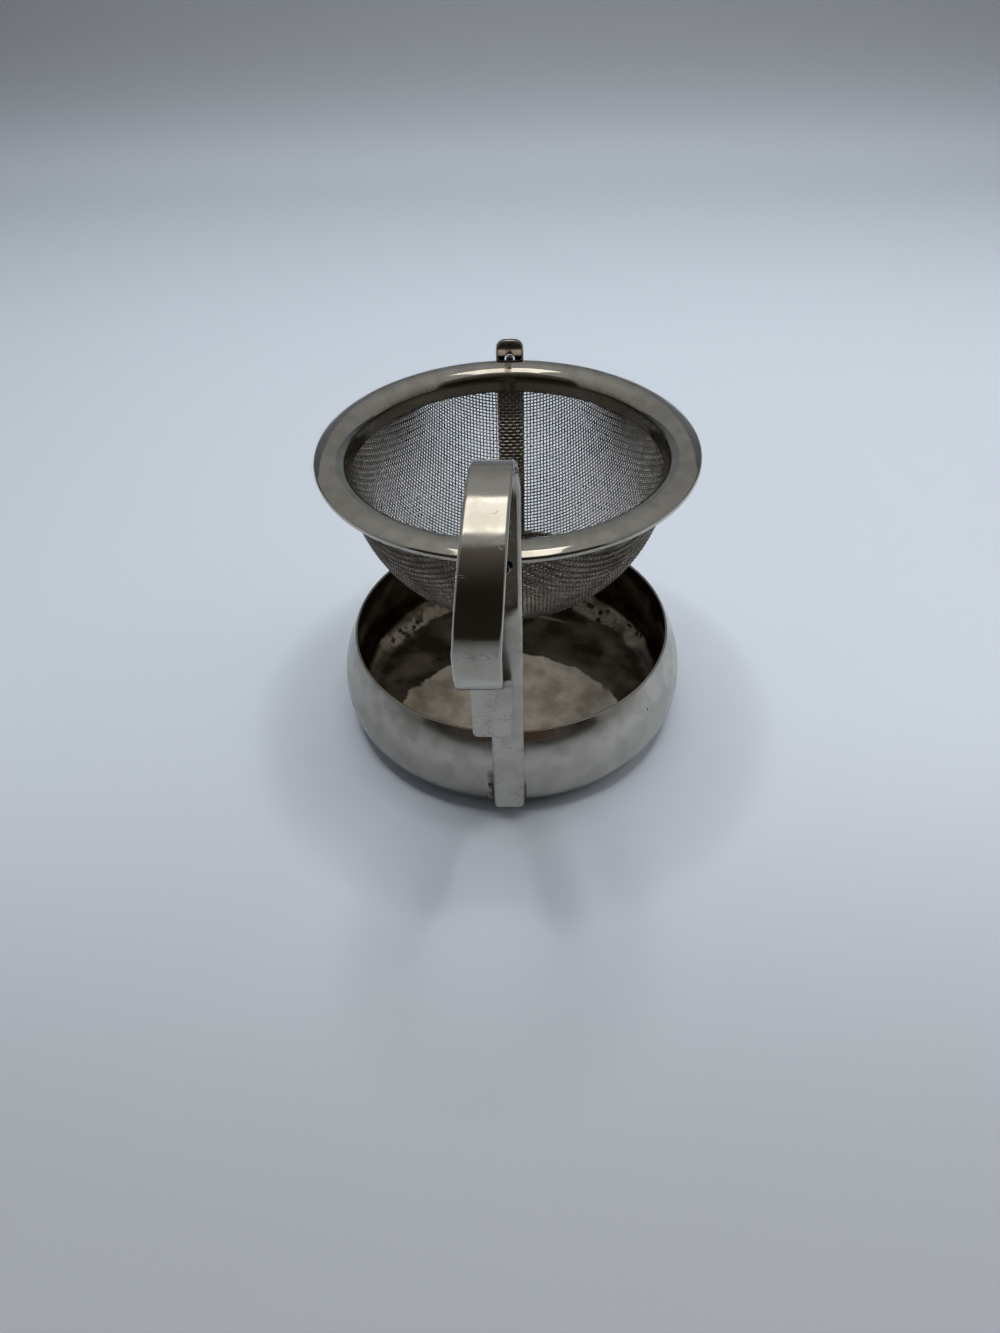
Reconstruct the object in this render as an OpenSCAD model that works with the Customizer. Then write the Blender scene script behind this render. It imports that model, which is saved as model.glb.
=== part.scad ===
// Tea strainer with drip bowl.
// A hemispherical wire cloth basket hangs on two pivots over a pressed steel bowl.
// One bent strip carries the front pivot and makes the finger loop, a short post carries the rear one.
// The handle is at -Y, the table is at z = 0, and the bowl's axis is the Z axis.

/* [Drip bowl] */
// Radius of the bowl at its widest ring
belly_r = 38.6; // [34:0.1:46]
// Height of the widest ring above the table
belly_z = 9.2; // [7:0.1:12]
// How far the flat base stops short of the widest ring
base_inset = 7.2; // [5:0.1:12]
// How far the mouth is drawn in from the widest ring
mouth_inset = 3.4; // [1:0.1:6]
// Height of the mouth above the table
bowl_h = 22.2; // [18:0.1:30]
// Thickness of the bowl's sheet
sheet_t = 0.6; // [0.4:0.05:1]
// Depth of the flats pressed into the belly where the strips are welded on
weld_flat = 0.12; // [0.06:0.01:0.2]

/* [Strips] */
// Thickness of the strip that both uprights are cut from
strip_t = 1.3; // [0.9:0.05:2]
// Radius on the strips' long edges
edge_r = 0.5; // [0.2:0.05:0.6]
// Height of the strips' lower ends above the table
foot_z = 4; // [2:0.1:6]
// Width of both strips at the bowl
foot_w = 6.2; // [5:0.1:9]
// Radius on the corners of a strip's cut end
end_r = 1.2; // [0.4:0.1:2]
// Height of the rear post's top above the pivot line
post_rise = 4.4; // [3:0.1:10]
// Rise of the arch on top of the rear post
post_arch = 1.4; // [0.8:0.1:2.5]

/* [Finger loop] */
// Height of the tail's end above the bowl's mouth
tail_lift = 4.8; // [2:0.1:8]
// Straight length of the tail that lies on the upright
tail_len = 12.2; // [10:0.1:18]
// Angle of the lower arm to the upright
arm_angle = 47; // [40:1:55]
// Slope at which the crown's bend passes into the grip's
crown_slope = 17; // [5:1:30]
// Slope at which the grip's bend passes into the arm's
grip_slope = 83; // [70:1:90]
// Bend radius over the crown
crown_bend = 8.4; // [5:0.1:11]
// Bend radius down the grip
grip_bend = 21.8; // [16:0.1:28]
// Bend radius from the grip into the arm
arm_bend = 10.9; // [7:0.1:15]
// Bend radius where the arm turns down into the tail
tail_bend = 4; // [2:0.1:6]
// How far the strip lies to the left of the upright where the crown ends
crown_skew = 1.2; // [0:0.1:2]
// How far the arm lies to the left of the upright
arm_skew = 3.1; // [0:0.1:4]
// How far the tail lies to the left of the upright
tail_skew = 2.7; // [0:0.1:3]
// Width of the strip where the crown ends
crown_w = 6.5; // [5:0.1:9]
// Width of the strip at the arm
arm_w = 7.2; // [5:0.1:10]
// Width of the strip at the tail
tail_w = 7.7; // [5:0.1:10]
// Gap that the weld keeps between the tail and the upright
weld_gap = 0.1; // [0.05:0.01:0.2]
// Diameter of the spot welds on the tail
weld_d = 2.4; // [1.6:0.1:3]
// Places of the spot welds along the tail, as shares of its length
weld_places = [0.2, 0.6]; // [0.1:0.05:0.9]

/* [Strainer basket] */
// Gap between the rim and the strips' inner faces
rim_gap = 0.98; // [0.5:0.02:2]
// Thickness of the rim's sheet
rim_t = 0.5; // [0.4:0.05:0.8]
// Height of the rim's crest above the pivot line
crest_h = 1.3; // [0.8:0.05:1.6]
// Width of the level crest
crest_w = 0.1; // [0.1:0.05:1]
// Width of the brow that falls from the crest to the rim's edge
brow_w = 1.7; // [1.5:0.05:2.2]
// Slope of the brow
brow_slope = 30; // [24:1:34]
// Bend radius from the crest into the brow
brow_r = 4.5; // [3:0.1:4.6]
// Bend radius from the brow down into the lip
lip_r = 0.5; // [0.3:0.05:0.6]
// Height of the lip below the brow's lower corner
lip_h = 0.6; // [0.4:0.05:1.2]
// Radius of the roll from the crest down into the skirt
fold_r = 3.2; // [2.4:0.1:4.2]
// Straight height of the skirt that holds the wire cloth
skirt_h = 1.7; // [1.2:0.1:3]
// Thickness of the wire cloth at its collar
cloth_t = 0.56; // [0.5:0.02:0.9]
// Openings in the cloth from side to side over the dome
cloth_openings = 12; // [8:2:12]
// Share of the cloth's pitch that a strand takes
strand_share = 0.36; // [0.25:0.01:0.5]
// Thickness of a strand
strand_t = 0.4; // [0.3:0.02:0.46]
// How far the cloth's collar stops short of the roll above it
collar_gap = 0.1; // [0.05:0.05:0.4]
// Depth of the cloth's dome below the skirt
dome_h = 30.4; // [24:0.1:32]
// Height that is free between the swinging basket and the bowl's mouth
swing_gap = 6.3; // [3:0.1:12]

/* [Pivots] */
// Diameter of the pivot pins
pin_d = 1.8; // [1.2:0.05:2]
// Radial clearance of a pin in its strip
pin_gap = 0.25; // [0.03:0.01:0.3]
// How far a pin's outer end lies below the strip's face
pin_recess = 0.6; // [0:0.05:0.8]
// Gap between a pin's inner end and the wire cloth
pin_clear = 0.4; // [0.1:0.05:1]

/* [Hidden] */
$fn = 96;
steel = "#c9c6bf";
cloth_colour = "#8f8b84";

// Strip faces, measured from the bowl's axis
strip_in = belly_r - weld_flat;
strip_mid = strip_in + strip_t / 2;
strip_out = strip_in + strip_t;

// Basket, measured from the pivot line
rim_r = strip_in - rim_gap;
lip_mid = rim_r - rim_t / 2;
crest_mid = crest_h - rim_t / 2;
brow_top = lip_mid - brow_w;
skirt_mid = brow_top - brow_r * tan(brow_slope / 2) - crest_w - fold_r;
skirt_out = skirt_mid + rim_t / 2;
skirt_top = crest_mid - fold_r;
skirt_end = skirt_top - skirt_h;
collar_top = skirt_top - collar_gap;
lip_top = crest_mid - brow_w * tan(brow_slope);
lip_end = lip_top - lip_h;
cloth_out = skirt_out + cloth_t;
dome_drop = dome_h - skirt_end;
swing_r = max(norm([rim_r, lip_end]), dome_drop);
pivot_z = bowl_h + swing_gap + swing_r;

// Headings along the loop: 90 is up, 180 is forwards and 270 is down
crown_end = 180 + crown_slope;
grip_end = 180 + grip_slope;
arm_way = 270 + arm_angle;

// Loop, from the shoulder on the upright round to the tail's line
tail_y = strip_mid + strip_t + weld_gap;
tail_z = bowl_h + tail_lift;
bends_run = arc_run(90, crown_end, crown_bend)
    + arc_run(crown_end, grip_end, grip_bend)
    + arc_run(grip_end, arm_way, arm_bend)
    + arc_run(arm_way, 270, tail_bend);
arm_len = (strip_mid - tail_y - bends_run[0]) / cos(arm_way);
shoulder_z = tail_z + tail_len - bends_run[1] - arm_len * sin(arm_way);

// Dome, as part of a sphere
dome_r = (pow(cloth_out, 2) + pow(dome_h, 2)) / (2 * dome_h);
strand_out = dome_r - (cloth_t - strand_t) / 2;

// Cloth, as the strands' edges along a wire from the dome's lowest point, counted in pitches
dome_fall = acos((dome_r - dome_h) / dome_r);
cloth_pitch = 2 * dome_fall / cloth_openings;
cloth_marks = concat([0], [for (k = [0:cloth_openings / 2], m = [strand_share / 2, 1 - strand_share / 2]) k + m]);

// Fineness of the curves
bend_step = 7.5;
edge_steps = 3;
end_steps = 4;
curve_steps = 14;

function unit(v) = v / norm(v);

// Stations [point, heading] along a bend of radius r at corner b, on the way from a to c
function bend(a, b, c, r) =
    let (
        back = unit(a - b),
        on = unit(c - b),
        half = acos(back * on) / 2,
        sweep = 180 - 2 * half,
        hub = b + unit(back + on) * r / sin(half),
        arm = unit(b + back * r / tan(half) - hub),
        steps = ceil(sweep / bend_step)
    )
    [for (k = [0:steps])
        let (q = sweep * k / steps)
        [hub + r * (arm * cos(q) - back * sin(q)), -arm * sin(q) - back * cos(q)]];

// How far a bend of radius r goes while it turns from heading a to heading b
function arc_run(a, b, r) = (b > a ? r : -r) * [sin(b) - sin(a), cos(a) - cos(b)];

// Stations [point, heading, x, width] along such a bend from point p, with [x, width] going from start to end
function arc(p, a, b, r, start, end) =
    let (steps = ceil(abs(b - a) / bend_step))
    [for (k = [0:steps])
        let (q = a + (b - a) * k / steps)
        concat([p + arc_run(a, q, r), [cos(q), sin(q)]], start + (end - start) * k / steps)];

function without_first(list) = [for (k = [1:len(list) - 1]) list[k]];

// How far each edge has drawn in at distance d from the tip of an end rounded over depth h by inset
function end_inset(d, h, inset) = inset * (1 - sqrt(1 - pow(1 - d / h, 2)));

// Stations [point, heading, x, width] over a strip's end, from its tip inwards along dir
function strip_end(tip, dir, heading, x, w, h, inset) =
    [for (k = [0:end_steps])
        let (d = h * (1 - cos(90 * k / end_steps)))
        [tip + dir * d, heading, x, w - 2 * end_inset(d, h, inset)]];

function reversed(list) = [for (k = [len(list) - 1:-1:0]) list[k]];

// Outline of a strip's section, as [across, through] pairs
function strip_section(w, r) =
    [for (corner = [0:3], k = [0:edge_steps])
        let (
            q = 90 * (corner + k / edge_steps),
            across = (corner == 0 || corner == 3) ? 1 : -1,
            through = corner < 2 ? 1 : -1
        )
        [across * (w / 2 - r) + r * cos(q), through * (strip_t / 2 - r) + r * sin(q)]];

// The strip that runs through stations [point, heading, x, width], points being [y, z]
module strip(stations) {
    n = 4 * (edge_steps + 1);
    last = len(stations) - 1;
    points = [for (s = stations, p = strip_section(s[3], edge_r))
        [s[2] + p[0], s[0][0] - s[1][1] * p[1], s[0][1] + s[1][0] * p[1]]];
    caps = [[for (k = [n - 1:-1:0]) k], [for (k = [0:n - 1]) last * n + k]];
    sides = [for (i = [0:last - 1], k = [0:n - 1])
        let (
            a = i * n + k,
            b = i * n + (k + 1) % n
        )
        each [[a, b, b + n], [a, b + n, a + n]]];
    polyhedron(points, concat(caps, sides));
}

// A round bar along Y, from y0 to y1 at height z
module bar_y(d, y0, y1, z) {
    translate([0, y0, z])
        rotate([-90, 0, 0])
            cylinder(d = d, h = y1 - y0);
}

module pivot_hole(y) {
    bar_y(pin_d + 2 * pin_gap, y - strip_t, y + strip_t, pivot_z);
}

// The outer wall of the bowl, from the base's edge to the mouth
bowl_wall = concat(
    [for (k = [0:curve_steps])
        let (q = 90 * k / curve_steps)
        [belly_r - base_inset * (1 - sin(q)), belly_z * (1 - cos(q))]],
    [for (k = [1:curve_steps])
        let (s = k / curve_steps)
        [belly_r - mouth_inset * s * s, belly_z + (bowl_h - belly_z) * s]]
);

// The same wall one sheet thickness further in
function inner_wall(wall) =
    [for (k = [0:len(wall) - 1])
        let (
            a = wall[max(k - 1, 0)],
            b = wall[min(k + 1, len(wall) - 1)],
            along = k == 0 ? [1, 0] : unit(b - a)
        )
        wall[k] + sheet_t * [-along[1], along[0]]];

module drip_bowl() {
    color(steel)
        difference() {
            rotate_extrude()
                polygon(concat([[0, 0]], bowl_wall, reversed(inner_wall(bowl_wall)), [[0, sheet_t]]));
            for (side = [-1, 1])
                translate([0, side * (strip_in + belly_r / 2), bowl_h / 2])
                    cube([belly_r, belly_r, bowl_h], center = true);
        }
}

module handle_strap() {
    up = [0, 1];
    down = [0, -1];
    crown_start = [-strip_mid, shoulder_z];
    grip_start = crown_start + arc_run(90, crown_end, crown_bend);
    arm_start = grip_start + arc_run(crown_end, grip_end, grip_bend);
    arm_stop = arm_start + arc_run(grip_end, arm_way, arm_bend);
    tail_start = arm_stop + arm_len * [cos(arm_way), sin(arm_way)];
    at_crown = [-crown_skew, crown_w];
    at_arm = [-arm_skew, arm_w];
    at_tail = [-tail_skew, tail_w];
    foot = strip_end([-strip_mid, foot_z], up, up, 0, foot_w, end_r, end_r);
    crown = arc(crown_start, 90, crown_end, crown_bend, [0, foot_w], at_crown);
    grip = arc(grip_start, crown_end, grip_end, grip_bend, at_crown, at_arm);
    arm = arc(arm_start, grip_end, arm_way, arm_bend, at_arm, at_arm);
    turn_down = arc(tail_start, arm_way, 270, tail_bend, at_tail, at_tail);
    tail = strip_end([-tail_y, tail_z], up, down, -tail_skew, tail_w, end_r, end_r);
    color(steel)
        difference() {
            union() {
                strip(concat(foot, crown, without_first(grip), without_first(arm), turn_down, reversed(tail)));
                for (share = weld_places)
                    translate([-tail_skew / 2, 0, 0])
                        bar_y(weld_d, -tail_y, -strip_mid, tail_z + tail_len * share);
            }
            pivot_hole(-strip_mid);
        }
}

module rear_post() {
    up = [0, 1];
    foot = strip_end([strip_mid, foot_z], up, up, 0, foot_w, end_r, end_r);
    top = strip_end([strip_mid, pivot_z + post_rise], -up, up, 0, foot_w, post_arch, foot_w / 2 - edge_r);
    color(steel)
        difference() {
            strip(concat(foot, reversed(top)));
            pivot_hole(strip_mid);
        }
}

// Corners of the rim's section along the middle of its sheet: [r, z], bend radius
rim_corners = [
    [[skirt_mid, skirt_end], 0],
    [[skirt_mid, crest_mid], fold_r],
    [[brow_top, crest_mid], brow_r],
    [[lip_mid, lip_top], lip_r],
    [[lip_mid, lip_end], 0]
];

module rim_section() {
    c = rim_corners;
    last = len(c) - 1;
    line = concat(
        [[c[0][0], unit(c[1][0] - c[0][0])]],
        [for (i = [1:last - 1]) each bend(c[i - 1][0], c[i][0], c[i + 1][0], c[i][1])],
        [[c[last][0], unit(c[last][0] - c[last - 1][0])]]
    );
    left = [for (s = line) s[0] + rim_t / 2 * [-s[1][1], s[1][0]]];
    right = [for (s = line) s[0] - rim_t / 2 * [-s[1][1], s[1][0]]];
    polygon(concat(left, reversed(right)));
}

module strainer_rim() {
    color(steel)
        difference() {
            translate([0, 0, pivot_z])
                rotate_extrude()
                    rim_section();
            for (side = [-1, 1])
                pivot_pin(side, rim_r + pin_d);
        }
}

// One row of the cloth's net, grown from the row before it. Woven cloth shears over a dome but keeps its wires'
// lengths, so each new crossing is the last one mirrored in the midpoint of its two neighbours.
function net_row(before, row) =
    len(row) == len(before) ? row :
    let (
        j = len(row) - 1,
        middle = unit(row[j] + before[j + 1])
    )
    net_row(before, concat(row, [2 * (before[j] * middle) * middle - before[j]]));

// Crossings of one quarter of the cloth on a sphere of radius 1, grown from the wires along X and Y
function cloth_net(marks, rows) =
    len(rows) == len(marks) ? rows :
    let (q = marks[len(rows)] * cloth_pitch)
    cloth_net(marks, concat(rows, [net_row(rows[len(rows) - 1], [[sin(q), 0, -cos(q)]])]));

// The openings between the cloth's strands, as wedges that point at the sphere's centre
module openings() {
    first_row = [for (m = cloth_marks) let (q = m * cloth_pitch) [0, sin(q), -cos(q)]];
    net = cloth_net(cloth_marks, [first_row]);
    highest = -cos(dome_fall - strand_share * cloth_pitch / 4);
    sides = [for (k = [0:3]) [k, k + 4, (k + 1) % 4 + 4, (k + 1) % 4]];
    ends = [[0, 1, 2], [0, 2, 3], [6, 5, 4], [7, 6, 4]];
    for (i = [1:2:len(net) - 2], j = [1:2:len(net) - 2], sx = [-1, 1], sy = [-1, 1])
        if (net[i + 1][j + 1][2] < highest)
            let (
                corners = [net[i][j], net[i + 1][j], net[i + 1][j + 1], net[i][j + 1]],
                turned = sx * sy > 0 ? corners : reversed(corners),
                ways = [for (u = turned) [sx * u[0], sy * u[1], u[2]]]
            )
            polyhedron([for (r = [2 * dome_r, dome_r / 2], u = ways) r * u], concat(sides, ends));
}

// The dome of wire cloth: a collar on the skirt, and the strands below it
module strainer_mesh() {
    collar_h = collar_top - skirt_end;
    color(cloth_colour)
        translate([0, 0, pivot_z + skirt_end]) {
            rotate_extrude()
                translate([skirt_out, 0])
                    square([cloth_t, collar_h]);
            translate([0, 0, dome_r - dome_h])
                difference() {
                    sphere(strand_out);
                    sphere(strand_out - strand_t);
                    translate([0, 0, dome_h + collar_h / 2])
                        cube(2 * dome_r, center = true);
                    openings();
                }
        }
}

// The pin under the rim's crest on one side, from beside the cloth out to radius tip
module pivot_pin(side, tip) {
    root = cloth_out + pin_clear;
    bar_y(pin_d, min(side * root, side * tip), max(side * root, side * tip), pivot_z);
}

module front_pivot() {
    color(steel)
        pivot_pin(-1, strip_out - pin_recess);
}

module rear_pivot() {
    color(steel)
        pivot_pin(1, strip_out - pin_recess);
}

drip_bowl();
handle_strap();
rear_post();
strainer_rim();
strainer_mesh();
front_pivot();
rear_pivot();
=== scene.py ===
# %% [markdown]
# A swivel tea strainer stands over its drip bowl. The bowl is pressed from thin steel, a bent strip and a
# short post are welded to it, and a basket of woven wire turns between them on two pins. The CAD model gives
# the sizes and the moving bodies. This lesson rebuilds each piece with the smooth faces that polished metal
# needs, and gives it a worn finish.

import math

import bpy
import numpy as np
from mathutils import Matrix, Vector, noise


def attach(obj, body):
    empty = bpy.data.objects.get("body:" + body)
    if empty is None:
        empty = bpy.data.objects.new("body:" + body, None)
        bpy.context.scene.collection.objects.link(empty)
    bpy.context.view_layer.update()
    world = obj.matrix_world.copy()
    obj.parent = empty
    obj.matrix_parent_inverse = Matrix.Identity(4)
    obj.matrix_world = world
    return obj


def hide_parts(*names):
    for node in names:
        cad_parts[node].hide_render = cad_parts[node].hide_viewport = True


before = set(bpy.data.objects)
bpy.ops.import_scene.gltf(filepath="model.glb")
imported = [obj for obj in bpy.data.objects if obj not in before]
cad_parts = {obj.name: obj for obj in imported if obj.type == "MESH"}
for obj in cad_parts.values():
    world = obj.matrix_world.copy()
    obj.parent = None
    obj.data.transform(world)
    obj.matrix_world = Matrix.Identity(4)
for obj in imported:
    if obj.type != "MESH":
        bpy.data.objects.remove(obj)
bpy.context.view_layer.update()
MM = 0.001


# %% [markdown]
# The photograph was taken from close by, over the finger loop, with a wide lens. Its place was found by
# fitting the ellipses of the rim and of the bowl's mouth. A camera in Blender looks along its own -Z, so it
# is tipped up from straight down, swung about Z and rolled a little.

# %% Place the camera
EYE = Vector((4.5, -161.2, 157.05)) * MM
SWING, DIP, ROLL = math.radians(2.59), math.radians(42.85), math.radians(-1.94)
FOCAL_PIXELS, LONG_SIDE = 924.95, 1333

lens = bpy.data.cameras.new("camera")
lens.lens = lens.sensor_width * FOCAL_PIXELS / LONG_SIDE
lens.clip_start = 0.01
camera = bpy.data.objects.new("camera", lens)
turned_to = (
    Matrix.Rotation(SWING, 4, "Z")
    @ Matrix.Rotation(math.pi / 2 - DIP, 4, "X")
    @ Matrix.Rotation(ROLL, 4, "Z")
)
camera.matrix_world = Matrix.Translation(EYE) @ turned_to
bpy.context.scene.collection.objects.link(camera)
bpy.context.scene.camera = camera
print("Focal length in mm:", round(lens.lens, 2))

# %% [markdown]
# A finish is a small network of nodes, and most of it is arithmetic on masks. This class wraps one output
# socket, so that a mask can be written as `1 - film * 0.5` and the Math nodes are made along the way. Every
# other kind of node comes from `node`, which sets the node's own settings first and then fills or links its
# sockets.

# %% Write shader maths as Python
class Tone:
    """One output socket of a finish, which can be added to, multiplied and handed on to other nodes."""

    def __init__(self, tree, socket=None):
        self.tree, self.socket = tree, socket

    def node(self, kind, settings=None, inputs=None, output=0):
        made = self.tree.nodes.new(kind)
        for name, value in (settings or {}).items():
            setattr(made, name, value)
        for key, value in (inputs or {}).items():
            if isinstance(value, Tone):
                self.tree.links.new(value.socket, made.inputs[key])
            else:
                made.inputs[key].default_value = value
        return Tone(self.tree, made.outputs[output])

    def math(self, operation, first, second):
        return self.node("ShaderNodeMath", {"operation": operation}, {0: first, 1: second})

    def __add__(self, other):
        return self.math("ADD", self, other)

    def __sub__(self, other):
        return self.math("SUBTRACT", self, other)

    def __rsub__(self, other):
        return self.math("SUBTRACT", other, self)

    def __mul__(self, other):
        return self.math("MULTIPLY", self, other)

    __radd__ = __add__
    __rmul__ = __mul__


# %% [markdown]
# A few helpers cover nearly every mark on worn steel. `ramp` turns a value into a mask with a soft border,
# and `fade` is the same mask turned over. `blend` lays one colour over another by a mask, and `cloud` is
# smooth noise whose size is given in millimetres. `part_of` takes one coordinate out of a place, `far_from`
# measures how far the place is from a point, and `size_of` drops a value's sign. `facing_away` tells how
# squarely the surface turns its back on a point: below zero, it faces the point.

# %% Helpers for masks and colours
def ramp(value, low, high):
    inputs = {"Value": value, "From Min": low, "From Max": high}
    return value.node("ShaderNodeMapRange", {"interpolation_type": "SMOOTHSTEP"}, inputs)


def fade(value, low, high):
    return 1 - ramp(value, low, high)


def blend(mask, under, over):
    MIX_FACTOR, MIX_UNDER, MIX_OVER, MIX_RESULT = 0, 6, 7, 2
    inputs = {MIX_FACTOR: mask, MIX_UNDER: under, MIX_OVER: over}
    return mask.node("ShaderNodeMix", {"data_type": "RGBA"}, inputs, MIX_RESULT)


def cloud(place, size, detail=3.0):
    return place.node("ShaderNodeTexNoise", None, {"Vector": place, "Scale": 1 / size, "Detail": detail})


def stretch(place, x, y, z):
    return place.node("ShaderNodeVectorMath", {"operation": "MULTIPLY"}, {0: place, 1: (x, y, z)})


def part_of(place, axis):
    return place.node("ShaderNodeSeparateXYZ", None, {0: place}, axis)


def far_from(place, point):
    return place.node("ShaderNodeVectorMath", {"operation": "DISTANCE"}, {0: place, 1: point}, "Value")


def size_of(value):
    return value.node("ShaderNodeMath", {"operation": "ABSOLUTE"}, {0: value})


def facing_away(place, point):
    outward = place.node("ShaderNodeTexCoord", output="Normal")
    away = place.node("ShaderNodeVectorMath", {"operation": "SUBTRACT"}, {0: place, 1: point})
    return place.node("ShaderNodeVectorMath", {"operation": "DOT_PRODUCT"}, {0: outward, 1: away}, "Value")


# %% [markdown]
# Every finish reads its place in millimetres, so that a mark can be put where the photograph shows it. What
# varies over the surface goes to the colour, the roughness, the metal share and the bump, and what is the
# same everywhere is set on the shader's own sockets. In the cells below, a pair of numbers in brackets is
# the soft border of a mark: it runs from the first number to the second.

# %% Start and close a finish
def colour_of(red, green, blue):
    return (red, green, blue, 1.0)


def new_finish(name):
    material = bpy.data.materials.new(name)
    material.use_nodes = True
    place = Tone(material.node_tree).node("ShaderNodeTexCoord", output="Object")
    return material, stretch(place, 1 / MM, 1 / MM, 1 / MM)


def close_finish(material, colour, roughness, relief, depth, metal=1.0):
    shader = material.node_tree.nodes["Principled BSDF"]
    bump = relief.node("ShaderNodeBump", None, {"Height": relief, "Distance": depth * MM, "Strength": 1.0})
    looks = {"Base Color": colour, "Roughness": roughness, "Metallic": metal, "Normal": bump}
    for name, value in looks.items():
        if isinstance(value, Tone):
            material.node_tree.links.new(value.socket, shader.inputs[name])
        else:
            shader.inputs[name].default_value = value
    print("Finish", material.name, "has", len(material.node_tree.nodes), "nodes")
    return material


# %% [markdown]
# Pits and cracks are the small marks of old steel. A pit is a small disc about the middle of a cell in a cell
# pattern, and a cloud decides which of the pits show. A crack is where a cloud passes its middle value.

# %% Pits and cracks
def pits(place, spacing, width, share):
    cells = place.node("ShaderNodeTexVoronoi", None, {"Vector": place, "Scale": 1 / spacing})
    chosen = ramp(cloud(place, spacing * 3), 1 - share, 1.04 - share)
    return fade(cells, width / spacing * 0.4, width / spacing) * chosen


def cracks(place, size, share):
    line = fade(size_of(cloud(place, size, 2.0) - 0.5), 0.003, 0.012)
    return line * ramp(cloud(place, size * 2.3), 1 - share, 1.05 - share)


# %% [markdown]
# The strips were polished once, along their length. Years of tea and wiping have left dull patches, hair-thin
# cracks and a scatter of dark pits, and worn the lower half of the handle. The loop's inner faces are painted
# dark, as painted shade, and near-black painted shade sits at the edge of the pin's hole. The foot's bottom
# edge is painted dark in a ragged band, and the post behind is painted dark brown, less so at its top. A
# painted image could show all this, but masks worked out from the place need no image and stay sharp close
# up.

# %% The finish of the strips
PALE_STEEL, DULL_STEEL = colour_of(0.50, 0.475, 0.43), colour_of(0.36, 0.335, 0.29)
# A dark brown for real pits and for painted shade, and the dark brown of the post.
PIT_AND_SHADE_BROWN, POST_BROWN = colour_of(0.05, 0.04, 0.03), colour_of(0.10, 0.08, 0.06)
# A near-black, used as painted shade in holes and as the dirt in the bowl's foam, and a dark steel, used as
# painted shade on the loop's inner faces.
SHADE_AND_GRIME, LOOP_SHADE = colour_of(0.006, 0.005, 0.004), colour_of(0.17, 0.155, 0.13)
# Where the painted shade at the edge of the pin's hole sits, and its soft radius.
HOLE_SHADE_AT, HOLE_SHADE_R = (0.85, -39.78, 66.9), (0.75, 1.05)
LOOP_MIDDLE, LOOP_FACE, LOOP_Y = (-2.0, -53.0, 66.0), (-5.0, -1.0), (-43.0, -42.0)
PITTED_Z, WORN_Z, UPRIGHT_Y = (58.0, 66.0), (55.0, 59.0), (-42.0, -41.6)
POST_Y, POST_LIGHTER_Z, FOOT_EDGE = (30.0, 34.0), (66.0, 69.0), (5.0, 5.5)


def strip_finish():
    material, place = new_finish("strip_steel")
    along, up = part_of(place, "Y"), part_of(place, "Z")
    film = ramp(cloud(place, 4.5, 5.0), 0.42, 0.62)
    brushing = cloud(stretch(place, 5.0, 0.3, 0.3), 1.0, 2.0)
    low = fade(up, *PITTED_Z)
    marks = low * (pits(place, 1.9, 0.30, 0.46) + cracks(stretch(place, 1.0, 1.0, 2.0), 3.0, 0.5) * 0.6)
    marks = marks + (1 - low) * cracks(stretch(place, 1.0, 2.0, 2.0), 2.6, 0.45) * 0.4
    # Painted shade at the upper edge of the pin's hole.
    hole_shade = fade(far_from(place, HOLE_SHADE_AT), *HOLE_SHADE_R)
    # The foot's bottom edge is painted dark in a ragged band.
    dark_foot_edge = fade(up + cloud(place, 1.0) * 2.0, *FOOT_EDGE)
    worn = fade(up + film, *WORN_Z) * ramp(along, *UPRIGHT_Y)
    # Painted shade on the inner faces of the loop, the faces that turn towards its middle.
    loop_inner_shade = fade(facing_away(place, LOOP_MIDDLE), *LOOP_FACE) * fade(along, *LOOP_Y)
    # The post is painted dark brown, less so above the pin.
    post_dark = ramp(along, *POST_Y) * (1 - ramp(up, *POST_LIGHTER_Z) * 0.6)
    steel = blend(loop_inner_shade * 0.85, blend(film * 0.45, PALE_STEEL, DULL_STEEL), LOOP_SHADE)
    marked = blend(marks + dark_foot_edge * 0.8, blend(post_dark * 0.9, steel, POST_BROWN), PIT_AND_SHADE_BROWN)
    colour = blend(hole_shade, marked, SHADE_AND_GRIME)
    roughness = 0.085 + film * 0.05 + brushing * 0.03 + marks * 0.3 + hole_shade * 0.3 + worn * 0.2
    relief = cloud(place, 7.0, 1.0) * 0.9 + cloud(place, 1.8, 2.0) * 0.1 + brushing * 0.02 - marks * 0.4
    return close_finish(material, colour, roughness, relief, 0.05)


strip_steel = strip_finish()

# %% [markdown]
# The rim is polished too, and duller where it is handled. Where its ends were joined, at the back, heat has
# left a brown mark across it. The skirt that holds the cloth is painted dark brown, as painted shade under
# the brow, and the pins' ends are painted black, as painted shade in the strips' holes. Height and distance
# from the axis tell the parts of the ring apart, so nothing has to be unwrapped.

# %% The finish of the rim
# The second colour is painted shade for the skirt under the brow.
HEAT_BROWN, SKIRT_SHADE = colour_of(0.21, 0.155, 0.105), colour_of(0.13, 0.105, 0.075)
SEAM_X, SEAM_EDGE, SEAM_Y = -0.3, (0.6, 1.3), (20.0, 22.0)
SKIRT_R, SKIRT_Z, PIN_END_Y = (33.2, 34.0), (65.0, 66.4), (38.2, 38.5)


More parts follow.
